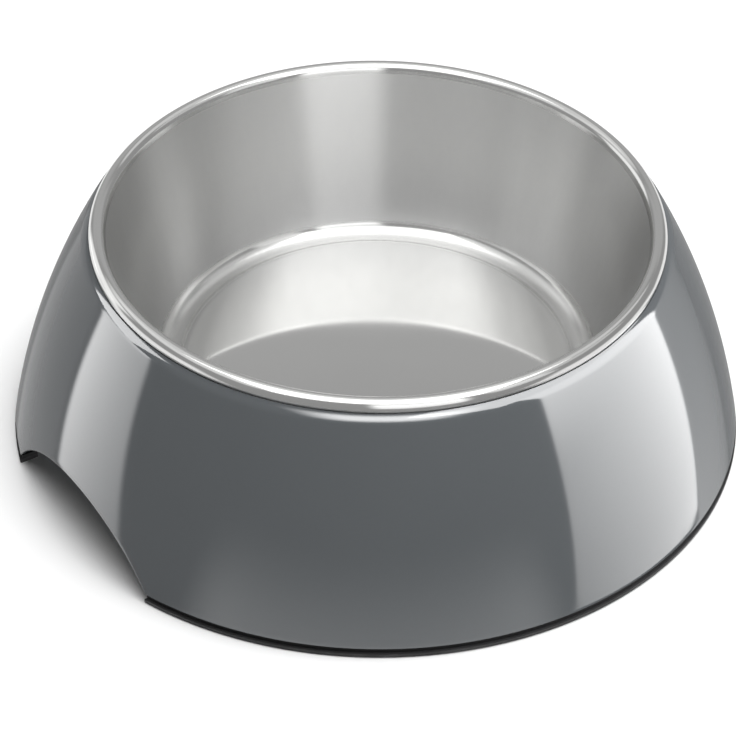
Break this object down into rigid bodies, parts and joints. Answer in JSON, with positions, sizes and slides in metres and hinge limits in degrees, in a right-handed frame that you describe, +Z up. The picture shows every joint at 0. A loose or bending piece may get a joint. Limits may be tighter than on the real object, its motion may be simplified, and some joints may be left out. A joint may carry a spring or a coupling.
{
  "type": "pet food bowl",
  "caption": "Domed melamine pet bowl base with arched hand cut-outs and rubber foot strips, holding a lift-out stainless steel food bowl with a rolled rim.",
  "frame": {"origin": "middle of the base, on the surface that it stands on", "axes": "+Z up, out of the bowl's mouth; X through the two hand cut-outs; -Y the front"},
  "size_m": [0.211, 0.2196, 0.0725],
  "materials": {
    "steel": "brushed wall, polished floor and rim",
    "melamine": "gloss",
    "rubber": "matt"
  },
  "bodies": {
    "base": {"base_shell": "melamine", "front_foot_strip": "rubber", "rear_foot_strip": "rubber"},
    "bowl": {"steel_bowl": "steel"}
  },
  "joints": [
    {"name": "bowl_lift", "type": "slide", "parent": "base", "child": "bowl", "axis": [0, 0, 1], "range_m": [0, 0.08]}
  ]
}
